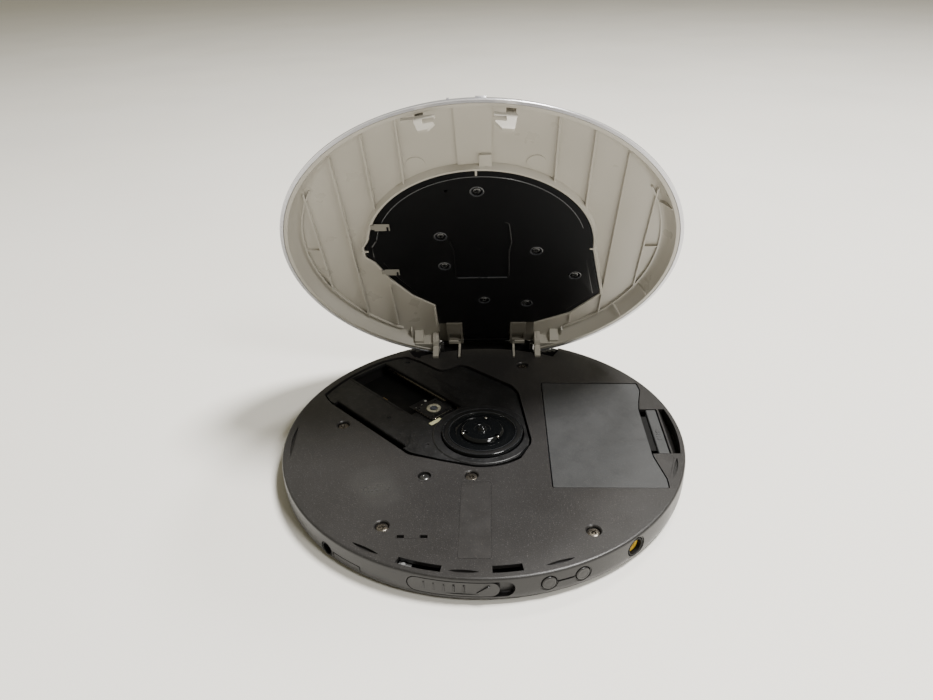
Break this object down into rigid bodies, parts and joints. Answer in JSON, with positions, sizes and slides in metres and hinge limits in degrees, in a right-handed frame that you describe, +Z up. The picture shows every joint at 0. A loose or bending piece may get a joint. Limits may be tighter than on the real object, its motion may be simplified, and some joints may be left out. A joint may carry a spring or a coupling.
{
  "type": "portable cd player",
  "caption": "Round battery-powered portable disc player with a hinged lid, a turntable, a sliding optical pickup, a battery door and side controls.",
  "frame": {"origin": "on the turntable's axis, at the plane that the three feet rest on", "axes": "+Z up along the turntable's axis, +Y towards the lid's hinge, +X to the right of someone facing the opening slider"},
  "size_m": [0.132, 0.1321, 0.1188],
  "materials": {
    "case": "finely textured charcoal moulding",
    "door": "finer texture, slightly cooler grey",
    "drive_black": "satin black moulding",
    "hub_black": "glossy black",
    "lid_plastic": "satin warm grey moulding",
    "lid_paint": "fine metallic silver paint",
    "screw_steel": "dark plated steel",
    "chassis_steel": "zinc-plated sheet",
    "rod_steel": "ground and polished",
    "rubber": "matt",
    "lens_glass": "coated lens",
    "board": "solder mask",
    "chip": "moulded package",
    "socket_yellow": "moulded",
    "cell": "plastic sleeve on a steel can",
    "white_plastic": "moulded",
    "window": "tinted clear plastic"
  },
  "bodies": {
    "base": {"upper_case": "case", "bottom_cover": "case", "foot_1": "rubber", "foot_2": "rubber", "foot_3": "rubber", "case_screw_1": "screw_steel", "case_screw_2": "screw_steel", "case_screw_3": "screw_steel", "case_screw_4": "screw_steel", "case_screw_5": "screw_steel", "deck_rivet": "screw_steel", "drive_cover": "drive_black", "drive_chassis": "chassis_steel", "drive_damper_1": "rubber", "drive_damper_2": "rubber", "drive_damper_3": "rubber", "spindle_motor": "chassis_steel", "guide_rod_main": "rod_steel", "guide_rod_side": "rod_steel", "feed_motor": "chassis_steel", "main_board": "board", "processor_chip": "chip", "headphone_socket": "drive_black", "supply_socket": "drive_black", "supply_socket_ring": "socket_yellow", "battery_tray": "drive_black", "battery_left": "cell", "battery_right": "cell", "contact_spring_left": "rod_steel", "contact_spring_right": "rod_steel", "contact_plate": "rod_steel", "lid_switch": "drive_black", "hinge_pin_left": "rod_steel", "hinge_pin_right": "rod_steel"},
    "lid": {"lid_cover": "lid_paint", "lid_frame": "lid_plastic", "lid_plate": "drive_black", "lid_board": "board", "display_module": "chip", "display_window": "window"},
    "play_button": {"play_key": "lid_paint"},
    "stop_button": {"stop_key": "lid_paint"},
    "skip_back_button": {"skip_back_key": "lid_paint"},
    "skip_forward_button": {"skip_forward_key": "lid_paint"},
    "slider": {"open_slider": "case"},
    "latch": {"right_latch": "drive_black"},
    "lever": {"reversing_lever": "chassis_steel"},
    "volume_down": {"volume_down_key": "case"},
    "volume_up": {"volume_up_key": "case"},
    "door": {"battery_door": "door"},
    "catch": {"battery_catch": "door"},
    "spindle": {"turntable": "hub_black", "centring_hub": "hub_black"},
    "ball_1": {"grip_ball_1": "rod_steel"},
    "ball_2": {"grip_ball_2": "rod_steel"},
    "ball_3": {"grip_ball_3": "rod_steel"},
    "pickup": {"pickup_sled": "drive_black"},
    "lens": {"objective_lens": "lens_glass"},
    "feed_screw": {"lead_screw": "rod_steel"},
    "plunger": {"lid_switch_plunger": "white_plastic"}
  },
  "joints": [
    {"name": "lid_hinge", "type": "hinge", "parent": "base", "child": "lid", "pos_m": [0.0012, 0.05869, 0.01145], "axis": [-1, 0, 0], "range_deg": [-60, 0]},
    {"name": "play_press", "type": "slide", "parent": "lid", "child": "play_button", "axis": [0, -0.866, -0.5], "range_m": [0, 0.00035], "stiffness_N_per_m": 400},
    {"name": "stop_press", "type": "slide", "parent": "lid", "child": "stop_button", "axis": [0, -0.866, -0.5], "range_m": [0, 0.00035], "stiffness_N_per_m": 400},
    {"name": "skip_back_press", "type": "slide", "parent": "lid", "child": "skip_back_button", "axis": [0, -0.866, -0.5], "range_m": [0, 0.00035], "stiffness_N_per_m": 400},
    {"name": "skip_forward_press", "type": "slide", "parent": "lid", "child": "skip_forward_button", "axis": [0, -0.866, -0.5], "range_m": [0, 0.00035], "stiffness_N_per_m": 400},
    {"name": "open_slide", "type": "hinge", "parent": "base", "child": "slider", "pos_m": [0, 0, 0], "axis": [0, 0, 1], "range_deg": [0, 3.3], "stiffness_Nm_per_rad": 1},
    {"name": "latch_slide", "type": "hinge", "parent": "base", "child": "latch", "pos_m": [0, 0, 0], "axis": [0, 0, 1], "range_deg": [-4.05, 0]},
    {"name": "lever_turn", "type": "hinge", "parent": "base", "child": "lever", "pos_m": [-0.00348, -0.05689, 0.0045], "axis": [0, 0, 1], "range_deg": [0, 37.8]},
    {"name": "volume_down_press", "type": "slide", "parent": "base", "child": "volume_down", "axis": [-0.2756, 0.9613, 0], "range_m": [0, 0.0004], "stiffness_N_per_m": 400},
    {"name": "volume_up_press", "type": "slide", "parent": "base", "child": "volume_up", "axis": [-0.4163, 0.9092, 0], "range_m": [0, 0.0004], "stiffness_N_per_m": 400},
    {"name": "battery_door_hinge", "type": "hinge", "parent": "base", "child": "door", "pos_m": [0.0223, 0, 0.0086], "axis": [0, -1, 0], "range_deg": [0, 95]},
    {"name": "catch_slide", "type": "slide", "parent": "door", "child": "catch", "axis": [-1, 0, 0], "range_m": [0, 0.0008], "stiffness_N_per_m": 300},
    {"name": "spindle_turn", "type": "hinge", "parent": "base", "child": "spindle", "pos_m": [0, 0, 0.01], "axis": [0, 0, 1], "continuous": true},
    {"name": "ball_1_press", "type": "slide", "parent": "spindle", "child": "ball_1", "axis": [0.9397, 0.342, 0], "range_m": [0, 0.0004], "stiffness_N_per_m": 100},
    {"name": "ball_2_press", "type": "slide", "parent": "spindle", "child": "ball_2", "axis": [-0.766, 0.6428, 0], "range_m": [0, 0.0004], "stiffness_N_per_m": 100},
    {"name": "ball_3_press", "type": "slide", "parent": "spindle", "child": "ball_3", "axis": [-0.1736, -0.9848, 0], "range_m": [0, 0.0004], "stiffness_N_per_m": 100},
    {"name": "pickup_feed", "type": "slide", "parent": "base", "child": "pickup", "axis": [-0.7071, 0.7071, 0], "range_m": [0, 0.033]},
    {"name": "lens_focus", "type": "slide", "parent": "pickup", "child": "lens", "axis": [0, 0, 1], "range_m": [-0.0003, 0.0004], "stiffness_N_per_m": 60},
    {"name": "feed_screw_turn", "type": "hinge", "parent": "base", "child": "feed_screw", "pos_m": [-0.0251, 0.00827, 0.0052], "axis": [-0.7071, 0.7071, 0], "range_deg": [0, 3215]},
    {"name": "plunger_press", "type": "slide", "parent": "base", "child": "plunger", "axis": [0, 0, -1], "range_m": [0, 0.00045], "stiffness_N_per_m": 100}
  ],
  "couplings": [
    {"joint": "latch_slide", "follows": "open_slide", "ratio": -1.2136},
    {"joint": "lever_turn", "follows": "open_slide", "ratio": 11.364},
    {"joint": "feed_screw_turn", "follows": "pickup_feed", "rad_per_m": 1698.2}
  ]
}
